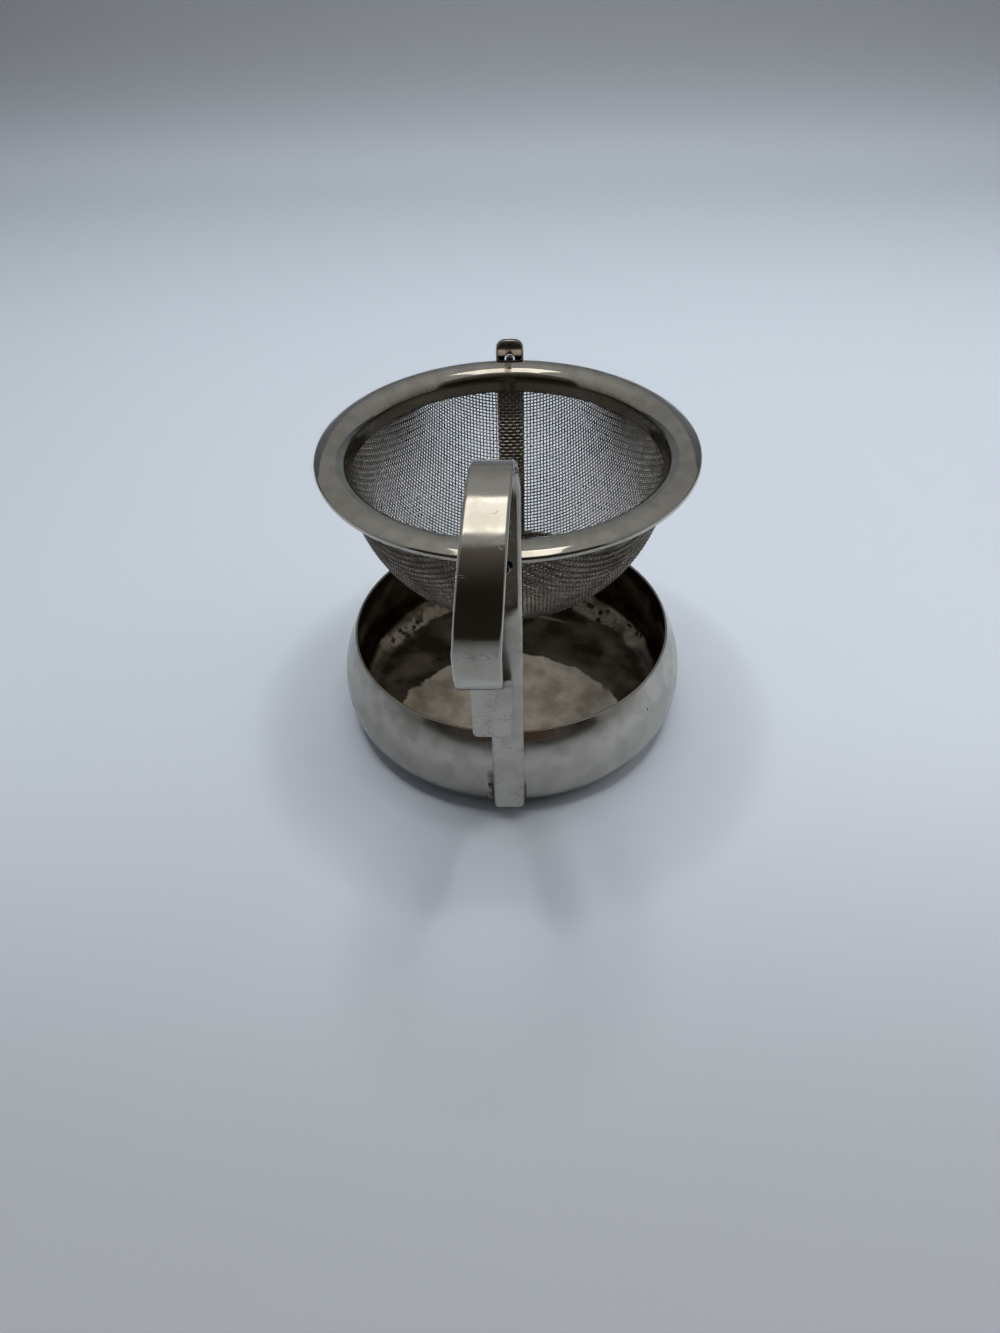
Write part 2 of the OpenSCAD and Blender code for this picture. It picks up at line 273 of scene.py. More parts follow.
def rim_finish():
    material, place = new_finish("rim_steel")
    across, along, up = part_of(place, "X"), part_of(place, "Y"), part_of(place, "Z")
    film = ramp(cloud(place, 4.0, 5.0), 0.40, 0.64)
    uneven = cloud(place, 0.8, 3.0)
    seam = fade(size_of(across - SEAM_X) + uneven * 0.5, *SEAM_EDGE) * ramp(along, *SEAM_Y)
    # The pins' ends inside the strips' holes are painted black, as painted shade.
    pin_end_shade = ramp(size_of(along), *PIN_END_Y)
    from_axis = far_from(stretch(place, 1.0, 1.0, 0.0), (0, 0, 0))
    # Painted shade on the skirt, under the brow.
    skirt_shade = fade(from_axis, *SKIRT_R) * fade(up + uneven * 0.8, *SKIRT_Z)
    steel = blend(skirt_shade * 0.9, blend(film * 0.5, PALE_STEEL, DULL_STEEL), SKIRT_SHADE)
    colour = blend(pin_end_shade, blend(seam * 0.75, steel, HEAT_BROWN), SHADE_AND_GRIME)
    roughness = 0.05 + film * 0.045 + uneven * 0.02 + seam * 0.15 + skirt_shade * 0.08 + pin_end_shade * 0.3
    return close_finish(material, colour, roughness, cloud(place, 6.0, 1.0) + uneven * 0.04, 0.03)


rim_steel = rim_finish()

# %% [markdown]
# The bowl has two finishes. Outside it is polished steel with faint dull patches, and its front left is
# painted darker, as painted shade. Below the mouth a dark reddish band is a painted reflection. Beside the
# foot of the strip the gap is painted black, as painted shade, and a thin streak of rust runs down on the
# left. A product of borders across, along and up keeps each of these marks to its own spot.

# %% The finish of the bowl's outside
# The first colour is real rust, and the second a painted reflection below the mouth.
RUST, LIP_REFLECTION = colour_of(0.15, 0.08, 0.03), colour_of(0.165, 0.085, 0.055)
# A darker steel, for dull patches and for painted shade at the front left, which the next two borders place.
BOWL_DULL_AND_SHADE, SHADED_SIDE_X, SHADED_SIDE_Y = colour_of(0.29, 0.27, 0.235), (-26.0, 2.0), (-12.0, 4.0)
FRONT_Y, LIP_Z, LIP_X = (-30.0, -28.0), (19.5, 20.4), (7.0, 14.0)
STREAK_LEFT, STREAK_RIGHT, STREAK_FOOT, STREAK_TOP = (-4.6, -3.7), (-3.0, -2.6), (2.0, 4.0), (12.0, 15.0)
RUST_SPOT, RUST_SPOT_R = (-3.9, -38.3, 9.9), (0.35, 0.6)
# Where the gap beside the foot is painted black, as painted shade.
GAP_X, GAP_EDGE, GAP_FOOT, GAP_TOP = 3.3, (0.15, 0.4), (2.5, 3.5), (9.0, 12.0)


def bowl_outside_finish():
    material, place = new_finish("bowl_steel_outside")
    across, along, up = part_of(place, "X"), part_of(place, "Y"), part_of(place, "Z")
    film = ramp(cloud(place, 4.5, 7.0), 0.40, 0.64)
    fine = cloud(place, 1.2, 4.0)
    ragged = fine - 0.5
    in_front = fade(along, *FRONT_Y)
    beside = ramp(across + ragged, *STREAK_LEFT) * fade(across, *STREAK_RIGHT) * in_front
    streak = beside * ramp(up + ragged * 4, *STREAK_FOOT) * fade(up + ragged * 4, *STREAK_TOP)
    # A painted reflection of a dark reddish band, just below the mouth.
    lip_reflection = ramp(up + ragged * 1.2, *LIP_Z) * in_front * fade(size_of(across) + ragged * 6, *LIP_X)
    # Painted shade in the gap beside the foot.
    foot_gap_shade = fade(size_of(size_of(across) - GAP_X), *GAP_EDGE) * in_front
    foot_gap_shade = foot_gap_shade * ramp(up, *GAP_FOOT) * fade(up + ragged * 4, *GAP_TOP)
    # Painted shade at the front left of the bowl.
    shaded_side = fade(across + ragged * 8, *SHADED_SIDE_X) * fade(along, *SHADED_SIDE_Y)
    pitted = pits(place, 3.4, 0.40, 0.42) + fade(far_from(place, RUST_SPOT), *RUST_SPOT_R)
    steel = blend(0.2 + film * 0.32 + shaded_side * 0.5, PALE_STEEL, BOWL_DULL_AND_SHADE)
    rusted = blend(streak * ramp(fine, 0.36, 0.60) * 0.9, blend(lip_reflection * 0.8, steel, LIP_REFLECTION), RUST)
    colour = blend(pitted + foot_gap_shade * 0.85, rusted, PIT_AND_SHADE_BROWN)
    roughness = 0.14 + film * 0.08 + fine * 0.06 + streak * 0.4
    relief = cloud(place, 9.0, 1.0) + fine * 0.04 - pitted * 0.5
    return close_finish(material, colour, roughness, relief, 0.05, (1 - streak * 0.7) * (1 - lip_reflection * 0.4))


bowl_outside = bowl_outside_finish()

# %% [markdown]
# Inside, tea has dried again and again. The wall is nearly black with it. The last puddle dried at the front
# of the floor and left a pale round patch with a ragged border, and a thin pale arc at the back of the floor
# is a painted highlight. Dried foam clings to the corner between floor and wall, with dark holes where
# bubbles burst. Noise is added to most borders before they are cut, because dried tea has no even edge.

# %% The finish of the bowl's inside
WALL_FILM, WALL_DARK, WALL_FOOT = colour_of(0.22, 0.18, 0.125), colour_of(0.075, 0.058, 0.038), (0.9, 3.0)
FLOOR_FILM, FLOOR_DARK = colour_of(0.105, 0.088, 0.066), colour_of(0.022, 0.017, 0.011)
PUDDLE_PALE, PUDDLE_BROWN = colour_of(0.47, 0.43, 0.36), colour_of(0.21, 0.175, 0.125)
PUDDLE_AT, PUDDLE_R, PUDDLE_Z, BROWNER_X = (-0.5, -17.0, 0.6), (27.9, 29.1), (1.2, 2.0), (-24.0, 0.0)
FOAM, FOAM_FOOT, FOAM_TOP = colour_of(0.50, 0.45, 0.36), (0.62, 1.1), (2.0, 3.6)
FOAM_Y, FOAM_ASIDE = (11.0, 16.0), (10.0, 14.0)
# A thin pale arc at the back of the floor, painted as a highlight.
ARC_HIGHLIGHT, ARC_HIGHLIGHT_R, ARC_HIGHLIGHT_EDGE = colour_of(0.34, 0.26, 0.205), 27.6, (0.1, 0.6)
ARC_HIGHLIGHT_LEFT, ARC_HIGHLIGHT_RIGHT, ARC_HIGHLIGHT_Y = (-3.0, 3.0), (9.0, 16.0), (5.0, 9.0)


def bowl_inside_finish():
    material, place = new_finish("bowl_steel_inside")
    across, along, up = part_of(place, "X"), part_of(place, "Y"), part_of(place, "Z")
    fine, broad = cloud(place, 1.4, 5.0), cloud(place, 6.0, 5.0)
    ragged = (broad - 0.5) * 7
    puddle = fade(far_from(place, PUDDLE_AT) + ragged, *PUDDLE_R) * fade(up + ragged * 0.1, *PUDDLE_Z)
    browner = ramp(cloud(place, 6.5, 8.0), 0.36, 0.68) * 0.75 + fade(across, *BROWNER_X) * 0.3
    corner = ramp(up + ragged * 0.12, *FOAM_FOOT) * fade(up + ragged * 0.3, *FOAM_TOP)
    corner = corner * ramp(along + ragged, *FOAM_Y) * ramp(size_of(across) + ragged, *FOAM_ASIDE)
    foam = corner * ramp(cloud(place, 3.6, 1.5), 0.34, 0.60)
    holes = corner * pits(place, 1.8, 0.85, 0.58)
    # Painted highlight along an arc at the back of the floor.
    off_arc_highlight = size_of(far_from(stretch(place, 1.0, 1.0, 0.0), (0, 0, 0)) + ragged * 0.25 - ARC_HIGHLIGHT_R)
    arc_highlight = fade(off_arc_highlight, *ARC_HIGHLIGHT_EDGE) * ramp(across, *ARC_HIGHLIGHT_LEFT) * fade(across, *ARC_HIGHLIGHT_RIGHT)
    arc_highlight = arc_highlight * ramp(along, *ARC_HIGHLIGHT_Y)
    on_wall = ramp(up, *WALL_FOOT)
    floor_film = blend(ramp(cloud(place, 9.0, 5.0), 0.34, 0.64), FLOOR_FILM, FLOOR_DARK)
    film = blend(on_wall, floor_film, blend(ramp(broad, 0.38, 0.62), WALL_FILM, WALL_DARK))
    dried = blend(browner, PUDDLE_PALE, PUDDLE_BROWN)
    stained = blend(puddle * (0.7 + fine * 0.4), blend(arc_highlight * 0.8, film, ARC_HIGHLIGHT), dried)
    colour = blend(holes, blend(foam * (0.2 + fine * 0.9), stained, FOAM), SHADE_AND_GRIME)
    metal = (0.45 + on_wall * 0.55) * (1 - puddle * 0.6) * (1 - foam * 0.8)
    roughness = 0.13 + fine * 0.12 + puddle * 0.25 + foam * 0.3
    relief = fine * 0.6 + foam * (1.5 + fine * 3.0) - holes * 3.0
    return close_finish(material, colour, roughness, relief, 0.06, metal)


bowl_inside = bowl_inside_finish()

# %% [markdown]
# The wires of the cloth were drawn bright, and tea has stained them, most of all low on the dome and on its
# outside, where the drops hang. Inside and outside are one mesh, so the finish tells them apart by the way
# the surface faces.

# %% The finish of the wire cloth
WIRE_BRIGHT, WIRE_STAINED = colour_of(0.36, 0.34, 0.31), colour_of(0.12, 0.095, 0.067)
CLOTH_MIDDLE, OUTER_FACE, LOW_ON_DOME = (0.0, 0.0, 62.0), (-4.0, 10.0), (36.0, 56.0)


def cloth_finish():
    material, place = new_finish("wire_cloth")
    outside = ramp(facing_away(place, CLOTH_MIDDLE), *OUTER_FACE)
    low = fade(part_of(place, "Z"), *LOW_ON_DOME)
    stain = ramp(cloud(place, 3.0, 4.0), 0.36, 0.68) * 0.45 + outside * 0.45 + low * 0.25
    colour = blend(stain, WIRE_BRIGHT, WIRE_STAINED)
    return close_finish(material, colour, 0.22 + stain * 0.2, cloud(place, 0.3, 2.0), 0.01)


cloth_wire = cloth_finish()

# %% [markdown]
# A mesh is a list of points and a list of faces that name them. Pieces are worked out in millimetres, as on a
# workshop drawing, and only this helper turns them into metres. Polished steel shows every facet, so all
# faces are shaded smooth, and only an edge sharper than 35 degrees stays crisp.

# %% Turn points and faces into a piece
CRISP = math.radians(35)


def make_piece(name, points, faces, body, node):
    mesh = bpy.data.meshes.new(name)
    mesh.from_pydata((np.asarray(points) * MM).tolist(), [], faces)
    mesh.shade_smooth()
    mesh.set_sharp_from_angle(angle=CRISP)
    made = bpy.data.objects.new(name, mesh)
    bpy.context.scene.collection.objects.link(made)
    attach(made, body)
    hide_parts(node)
    print(name, "has", len(mesh.polygons), "faces")
    return made


# %% [markdown]
# Every piece here is made of rings of points, one after the other: rings about the upright axis for turned
# sheet, rings along a line for strips and wires. These helpers join neighbouring rings with faces, close the
# first and the last ring, and bring a list of directions to length one.

# %% Join rings of points
def ring_faces(size, rows, start=0, closed=False):
    faces = []
    for row in range(rows if closed else rows - 1):
        here, there = start + row * size, start + (row + 1) % rows * size
        faces += [[here + k, here + (k + 1) % size, there + (k + 1) % size, there + k] for k in range(size)]
    return faces


def end_caps(size, rows, start=0):
    last = start + (rows - 1) * size
    return [list(range(start, start + size))[::-1], list(range(last, last + size))]


def unit(directions):
    return directions / np.linalg.norm(directions, axis=1)[:, None]


# %% [markdown]
# The bowl and the rim are both sheet metal of revolution. The easy way is to draw the sheet's middle line
# once, thicken it to both sides with a round edge at its end, and turn the outline about the upright axis.

# %% Thicken a line into sheet, and turn it
HALF_ROUND = np.radians(np.arange(22.5, 180, 22.5))[:, None]


def thicken(line, half):
    along = unit(np.gradient(line, axis=0))
    side = np.c_[along[:, 1], -along[:, 0]] * half
    round_end = line[-1] + np.cos(HALF_ROUND) * side[-1] + np.sin(HALF_ROUND) * along[-1] * half
    return np.vstack([line + side, round_end, (line - side)[::-1]])


def turn(outline, steps, closed=False):
    angles = np.linspace(0, 2 * np.pi, steps, endpoint=False)
    points = np.array([[r * np.cos(a), r * np.sin(a), z] for r, z in outline for a in angles])
    return points, ring_faces(steps, len(outline), closed=closed)


# %% [markdown]
# The bowl's wall leaves the flat base in a quarter of an ellipse, is widest at the belly, and draws in to the
# mouth. Two flats are pressed into the belly for the welded strips. Hand polishing leaves the wall a few
# hundredths of a millimetre uneven, which is what makes reflections in thin sheet wander. A small trim keeps
# that unevenness within the belly's width. A Screw modifier could turn the outline too, but with the points
# at hand the flats, the unevenness and the two finishes are a few lines each.

# %% The drip bowl
BELLY_R, BELLY_Z, BASE_INSET, MOUTH_INSET, BOWL_H, SHEET = 38.6, 9.2, 7.2, 3.4, 22.2, 0.6
BASE_CORE, WELD_FLAT, BELLY_TRIM = 1.5, 0.12, 0.05
BOWL_UNEVEN, BOWL_UNEVEN_SIZE, BOWL_UNEVEN_FROM, BOWL_STEPS = 0.035, 11, 2, 256


def bowl_line():
    q = np.radians(np.linspace(0, 90, 41))[:-1]
    s = np.linspace(0, 1, 41)
    base = [[r, 0.0] for r in np.linspace(BASE_CORE, BELLY_R - BASE_INSET, 25)[:-1]]
    corner = np.c_[BELLY_R - BASE_INSET * (1 - np.sin(q)), BELLY_Z * (1 - np.cos(q))]
    wall = np.c_[BELLY_R - MOUTH_INSET * s**2, BELLY_Z + (BOWL_H - SHEET / 2 - BELLY_Z) * s]
    outside = np.vstack([base, corner, wall])
    along = unit(np.gradient(outside, axis=0))
    return outside - np.c_[along[:, 1], -along[:, 0]] * SHEET / 2


def bowl():
    line = bowl_line()
    outline = thicken(line, SHEET / 2)
    rows = len(outline)
    points, faces = turn(outline, BOWL_STEPS)
    faces += end_caps(BOWL_STEPS, rows)
    for k, point in enumerate(points):
        if point[2] > BOWL_UNEVEN_FROM:
            out = Vector((point[0], point[1], 0)).normalized()
            points[k] += np.array(out) * BOWL_UNEVEN * noise.noise(Vector(point) / BOWL_UNEVEN_SIZE)
    flat, widest = BELLY_R - WELD_FLAT, BELLY_R - BELLY_TRIM
    points[:, 1] = np.clip(points[:, 1], -flat, flat)
    points[:, 0] = np.clip(points[:, 0], -widest, widest)
    made = make_piece("bowl", points, faces, "stand", "drip_bowl")
    made.data.materials.append(bowl_outside)
    made.data.materials.append(bowl_inside)
    inside = range((rows - len(line)) * BOWL_STEPS, (rows - 1) * BOWL_STEPS)
    inner_floor = len(faces) - 1
    side = [int(k in inside or k == inner_floor) for k in range(len(faces))]
    made.data.polygons.foreach_set("material_index", side)
    return made


bowl()

# %% [markdown]
# Bent sheet is easiest to describe as its bender makes it: straight runs and bends in turn. A run says the
# heading it starts with, the heading it ends with, and its length if it is straight or its radius if it is a
# bend. The helper walks along the runs and also says how far it has come, counted in runs, so that widths can
# be given from bend to bend.

# %% Walk along runs and bends
FEWEST_STEPS = 8


def walk(start, runs, step):
    spots, places = [np.array(start, float)], [0.0]
    for number, (before, after, size) in enumerate(runs):
        a, b = math.radians(before), math.radians(after)
        length = size if before == after else size * abs(b - a)
        shares = np.linspace(0, 1, max(FEWEST_STEPS, int(length / step)) + 1)[1:]
        if before == after:
            moves = np.outer(shares * size, [math.cos(a), math.sin(a)])
        else:
            now = a + (b - a) * shares
            moves = math.copysign(size, b - a) * np.c_[np.sin(now) - math.sin(a), math.cos(a) - np.cos(now)]
        spots.extend(spots[-1] + moves)
        places.extend(number + shares)
    return np.array(spots), np.array(places)


# %% [markdown]
# The rim is one ring of sheet: a roll up out of the skirt that holds the cloth, an arched top that falls
# outwards as a brow, and a thin lip at the outer edge. Both ends of its line are round, so the outline closes
# on itself. Walking the runs, and not drawing a free curve, keeps the bends at the radii of the CAD model.
# Like the bowl, the rim is a few hundredths of a millimetre uneven.

# %% The rim of the basket
PIVOT_Z, RIM_T = 66.0038, 0.5
RIM_START, RIM_STEP, RIM_STEPS = (31.0442, PIVOT_Z - 3.85), 0.25, 320
RIM_RUNS = [
    (90, 90, 1.7),
    (90, 0, 3.2),
    (0, 0, 0.1),
    (0, -30, 4.5),
    (-30, -30, 0.4685),
    (-30, -90, 0.5),
    (-90, -90, 0.3113),
]
RIM_UNEVEN, RIM_UNEVEN_SIZE = 0.03, 9


def rim():
    line, _ = walk(RIM_START, RIM_RUNS, RIM_STEP)
    half = RIM_T / 2
    start = line[0] + np.cos(HALF_ROUND) * [-half, 0] - np.sin(HALF_ROUND) * [0, half]
    points, faces = turn(np.vstack([thicken(line, half), start]), RIM_STEPS, closed=True)
    for k, point in enumerate(points):
        points[k][2] += RIM_UNEVEN * (noise.noise(Vector(point) / RIM_UNEVEN_SIZE) - 0.5)
    made = make_piece("rim", points, faces, "basket", "strainer_rim")
    made.data.materials.append(rim_steel)
    return made


rim()

# %% [markdown]
# A strip is swept ring by ring. Each ring is a rectangle with round edges, set across the line, and the rings
# shrink at the two ends so that the corners are rounded off. Extra points across the broad faces keep them
# flat right up to the edges, because smooth shading would otherwise swell them like a pillow. A curve with
# a bevel could do it too, but rings give each place its own width, thickness and twist.

# %% Sweep a strip
STRIP_T, EDGE_R, EDGE_SHARE, END_R = 1.3, 0.5, 0.77, 1.2
END_STEPS = (0.0, 0.02, 0.07, 0.15, 0.26, 0.38, 0.5, 0.7, 0.95, 1.2)
BROAD_SHARES = np.array([0.93, 0.7, 0.35, 0.0, -0.35, -0.7, -0.93])


def rounding(distance, radius):
    short = np.clip(radius - distance, 0, radius)
    return radius - np.sqrt(radius**2 - short**2)


def strip_ring(half_width, half_thick):
    edge = min(EDGE_R, half_thick * EDGE_SHARE)
    arc = np.radians(np.linspace(0, 90, 5))
    round_edge = np.c_[half_width - edge + edge * np.cos(arc), half_thick - edge + edge * np.sin(arc)]
    broad = np.c_[BROAD_SHARES * (half_width - edge), np.full(len(BROAD_SHARES), half_thick)]
    top = np.vstack([round_edge, broad, round_edge[::-1] * [-1, 1]])
    return np.vstack([top, -top])


def sweep(centres, across, thick_way, half_widths, half_thicks):
    outlines = map(strip_ring, half_widths, half_thicks)
    rings = [
        centre + np.outer(outline[:, 0], wide) + np.outer(outline[:, 1], way)
        for centre, wide, way, outline in zip(centres, across, thick_way, outlines)
    ]
    size, rows = len(rings[0]), len(rings)
    return np.vstack(rings), ring_faces(size, rows) + end_caps(size, rows)


# %% [markdown]
# Each strip has a punched hole for its pin. A turned cutter with a little countersink at both faces is taken
# out of the strip with a Boolean, which is applied at once so that the piece is a plain mesh again.

# %% Punch the pin holes
HOLE_D, COUNTERSINK = 2.3, 0.12
CUTTER_CORE, CUTTER_REACH, HOLE_STEPS = 0.02, 2, 48


def punch(piece, side, middle):
    reach, hole = STRIP_T / 2, HOLE_D / 2
    wide = hole + COUNTERSINK
    half = [(hole, reach - COUNTERSINK), (wide, reach), (wide, CUTTER_REACH), (CUTTER_CORE, CUTTER_REACH)]
    outline = [(r, -z) for r, z in half[::-1]] + half
    points, faces = turn(outline, HOLE_STEPS)
    faces += end_caps(HOLE_STEPS, len(outline))
    lying = np.c_[points[:, 0], side * middle + points[:, 2], PIVOT_Z - points[:, 1]]
    mesh = bpy.data.meshes.new("cutter")
    mesh.from_pydata((lying * MM).tolist(), [], faces)
    cutter = bpy.data.objects.new("cutter", mesh)
    bpy.context.scene.collection.objects.link(cutter)
    cut = piece.modifiers.new("hole", "BOOLEAN")
    cut.object, cut.solver = cutter, "EXACT"
    bpy.context.view_layer.update()
    done = bpy.data.meshes.new_from_object(piece.evaluated_get(bpy.context.evaluated_depsgraph_get()))
    piece.modifiers.clear()
    piece.data = done
    done.set_sharp_from_angle(angle=CRISP)
    bpy.data.objects.remove(cutter)
    print(piece.name, "has", len(done.polygons), "faces with its hole")


# %% [markdown]
# The handle is one strip. It is welded to the bowl's front, rises past the pin, bends over forwards, comes
# down as the finger loop and runs back to the upright, where its tail is welded on. Its width and how far it
# has crept sideways are given where the runs meet, because the loop isn't quite square. Inside the loop the
# upright is twisted by a few degrees, one way low down and the other way above, as its dark reflection shows.

# %% The handle strap
STRIP_MID, FOOT_Z, STRAP_STEP = 39.13, 4.0, 0.5
STRAP_RUNS = [
    (90, 90, 76.292),
    (90, 197, 8.4),
    (197, 263, 21.8),
    (263, 317, 10.9),
    (317, 317, 27.4323),
    (317, 270, 4.0),
    (270, 270, 12.2),
]
STRAP_SIDE = [0, 0, -1.2, -3.1, -3.1, -2.7, -2.7, -2.7]
STRAP_WIDTH = [6.2, 6.2, 6.5, 7.2, 7.2, 7.7, 7.7, 7.7]
TWIST, TWIST_HEIGHTS, TWIST_SHARES = math.radians(5), [42, 45, 54, 58, 76, 82], [0, -1, -1, 1, 1, 0]
UPRIGHT_ENDS, END_GAP = 1.5, 0.2


def with_end_steps(line, places):
    runs = np.r_[0, np.cumsum(np.linalg.norm(np.diff(line, axis=0), axis=1))]
    length, ends = runs[-1], np.array(END_STEPS)
    clear = ends[-1] + END_GAP
    at = np.r_[ends, runs[(runs > clear) & (runs < length - clear)], (length - ends)[::-1]]
    resampled = np.c_[np.interp(at, runs, line[:, 0]), np.interp(at, runs, line[:, 1])]
    return resampled, np.interp(at, runs, places), np.minimum(at, length - at)


def strap():
    line, places = walk((-STRIP_MID, FOOT_Z), STRAP_RUNS, STRAP_STEP)
    line, places, to_end = with_end_steps(line, places)
    numbers = range(len(STRAP_WIDTH))
    half_widths = np.interp(places, numbers, STRAP_WIDTH) / 2 - rounding(to_end, END_R)
    half_thicks = STRIP_T / 2 - rounding(to_end, EDGE_R)
    centres = np.c_[np.interp(places, numbers, STRAP_SIDE), line]
    along = unit(np.gradient(line, axis=0))
    twist = np.interp(line[:, 1], TWIST_HEIGHTS, TWIST_SHARES) * (places < UPRIGHT_ENDS) * TWIST
    across = np.c_[np.cos(twist), -np.sin(twist), np.zeros(len(line))]
    ways = np.c_[np.sin(twist) * along[:, 1], np.cos(twist) * along[:, 1], -along[:, 0]]
    points, faces = sweep(centres, across, ways, half_widths, half_thicks)
    made = make_piece("strap", points, faces, "stand", "handle_strap")
    made.data.materials.append(strip_steel)
    punch(made, -1, STRIP_MID)
    print("The tail ends at", line[-1].round(2), "mm")
    return made


strap()

# %% [markdown]
# The post at the back is a short length of the same strip. Its top is cut to a low arch, which is drawn here
# as half of a rounded oval, and the pin's hole sits a little below it.

# %% The rear post
POST_TOP, POST_W, ARCH_DEPTH, ARCH_POWER, ARCH_TIP = 70.4038, 6.2, 2.4, 2.6, 0.3
RISE_FROM, RISE_GAP = 1.5, 0.1


def post():
    length = POST_TOP - FOOT_Z
    rise = np.r_[END_STEPS, np.linspace(RISE_FROM, length - ARCH_DEPTH - RISE_GAP, 120)]
    arch = length - ARCH_DEPTH * (1 - np.sin(np.radians(np.linspace(0, 90, 25))))
    height = np.r_[rise, arch]
    to_top = length - height
    oval = (1 - np.clip(1 - to_top / ARCH_DEPTH, 0, 1) ** ARCH_POWER) ** (1 / ARCH_POWER)
    half_widths = np.maximum((POST_W / 2 - rounding(height, END_R)) * oval, ARCH_TIP)
    half_thicks = STRIP_T / 2 - rounding(np.minimum(height, to_top), EDGE_R)
    count = len(height)
    centres = np.c_[np.zeros(count), np.full(count, STRIP_MID), FOOT_Z + height]
    across = np.tile([1.0, 0.0, 0.0], (count, 1))
    ways = np.tile([0.0, 1.0, 0.0], (count, 1))
    points, faces = sweep(centres, across, ways, half_widths, half_thicks)
    made = make_piece("post", points, [face[::-1] for face in faces], "stand", "rear_post")
    made.data.materials.append(strip_steel)
    punch(made, 1, STRIP_MID)
    return made


post()

# %% [markdown]
# The pins are plain turned stubs, welded under the rim's crest. Each stops a little short of the strip's
# outer face, so the hole around it looks dark. They are turned like the bowl, and then laid down.

# %% The two pivot pins
PIN_D, PIN_ROOT, PIN_TIP, PIN_ROUND = 1.8, 32.2542, 39.18, 0.25
PIN_CORE, PIN_STEPS = 0.05, 48


def pin(name, side, node):
    arc = np.radians(np.linspace(0, 90, 6))
    tip_r = PIN_D / 2 - PIN_ROUND + PIN_ROUND * np.cos(arc)
    tip_z = PIN_TIP - PIN_ROUND + PIN_ROUND * np.sin(arc)
    root = [(PIN_CORE, PIN_ROOT), (PIN_D / 2, PIN_ROOT)]
    outline = np.vstack([root, np.c_[tip_r, tip_z], [(PIN_CORE, PIN_TIP)]])
    points, faces = turn(outline, PIN_STEPS)
    faces += end_caps(PIN_STEPS, len(outline))
    lying = np.c_[points[:, 0], side * points[:, 2], PIVOT_Z - side * points[:, 1]]
    made = make_piece(name, lying, faces, "basket", node)
    made.data.materials.append(rim_steel)
    return made


pin("pin_front", -1, "front_pivot")
pin("pin_rear", 1, "rear_pivot")

# %% [markdown]
# The cloth is a square weave drawn into a dome. Its wires can't stretch, so the squares shear into diamonds
# between the two straight wires through the lowest point. A net of equal steps on a sphere shows this: from
# two neighbours of a crossing, the next crossing is the first one mirrored in their midpoint. The net is then
# laid on the dome, which is a little flatter than the sphere and goes straight up above its widest ring.

# %% Lay the cloth's crossings on the dome
PITCH, WIRE_D = 0.775, 0.28
CLOTH_R, CLOTH_DEPTH, CLOTH_TOP, DOME_Z = 31.5742, 30.12, 63.70, 62.1538
STEP_ANGLE = PITCH / CLOTH_R
TOP_FALL = math.pi / 2 + (CLOTH_TOP - DOME_Z) / CLOTH_R
COUNT = int(TOP_FALL / STEP_ANGLE) + 3


def quarter_net():
    net = np.zeros((COUNT, COUNT, 3))
    for k in range(COUNT):
        aside, down = math.sin(k * STEP_ANGLE), -math.cos(k * STEP_ANGLE)
        net[k, 0] = aside, 0, down
        net[0, k] = 0, aside, down
    for i in range(COUNT - 1):
        for j in range(COUNT - 1):
            middle = net[i + 1, j] + net[i, j + 1]
            middle /= np.linalg.norm(middle)
            net[i + 1, j + 1] = 2 * (net[i, j] @ middle) * middle - net[i, j]
    return net


def on_dome(directions):
    level, down = directions[:, :2], directions[:, 2]
    fall = np.arccos(np.clip(-down, -1, 1))
    above = np.maximum(fall - np.pi / 2, 0)
    straight = above > 0
    widen = np.where(straight, 1 / np.maximum(np.hypot(level[:, 0], level[:, 1]), 1e-9), 1)[:, None]
    height = np.where(straight, above * CLOTH_R, CLOTH_DEPTH * down)
    places = np.c_[level * widen * CLOTH_R, DOME_Z + height]
    normals = np.c_[level * widen / CLOTH_R, np.where(straight, 0, down / CLOTH_DEPTH)]
    return places, unit(normals), fall


quarter = quarter_net()
print("The quarter net has", COUNT, "wires each way")

# %% [markdown]
# Each wire passes over one crossing and under the next, by the wire's own radius, and the wires of the other
# set do the opposite. A wire is a six-sided tube with one ring at each crossing, which is as fine as the
# picture can show. All the wires of one set are one mesh, because hundreds of objects would be slower.

# %% Weave the wires
WIRE_SIDES, FEWEST_CROSSINGS = 6, 3


def wire_tube(places, normals, lifts):
    path = places + normals * lifts[:, None]
    along = unit(np.gradient(path, axis=0))
    beside = unit(np.cross(along, normals))
    upward = np.cross(beside, along)
    swing = np.radians(np.arange(WIRE_SIDES) * 360 / WIRE_SIDES)[None, :, None]
    spokes = np.cos(swing) * upward[:, None] + np.sin(swing) * beside[:, None]
    return (path[:, None] + spokes * WIRE_D / 2).reshape(-1, 3)


def crossing(i, j):
    x, y, z = quarter[abs(i), abs(j)]
    return math.copysign(x, i), math.copysign(y, j), z


def weave(name, swapped):
    points, faces, base = [], [], 0
    numbers = range(-COUNT + 1, COUNT)
    for number in numbers:
        pairs = [(other, number) if swapped else (number, other) for other in numbers]
        places, normals, fall = on_dome(np.array([crossing(i, j) for i, j in pairs]))
        inside = np.flatnonzero(fall <= TOP_FALL)
        rings = len(inside)
        if rings < FEWEST_CROSSINGS:
            continue
        over = (inside + number) % 2 * 2 - 1
        lifts = (over if swapped else -over) * WIRE_D / 2
        points.append(wire_tube(places[inside], normals[inside], lifts))
        faces += ring_faces(WIRE_SIDES, rings, base) + end_caps(WIRE_SIDES, rings, base)
        base += rings * WIRE_SIDES
    made = make_piece(name, np.vstack(points), faces, "basket", "strainer_mesh")
    made.data.materials.append(cloth_wire)
    return made


weave("cloth_warp", False)
weave("cloth_weft", True)

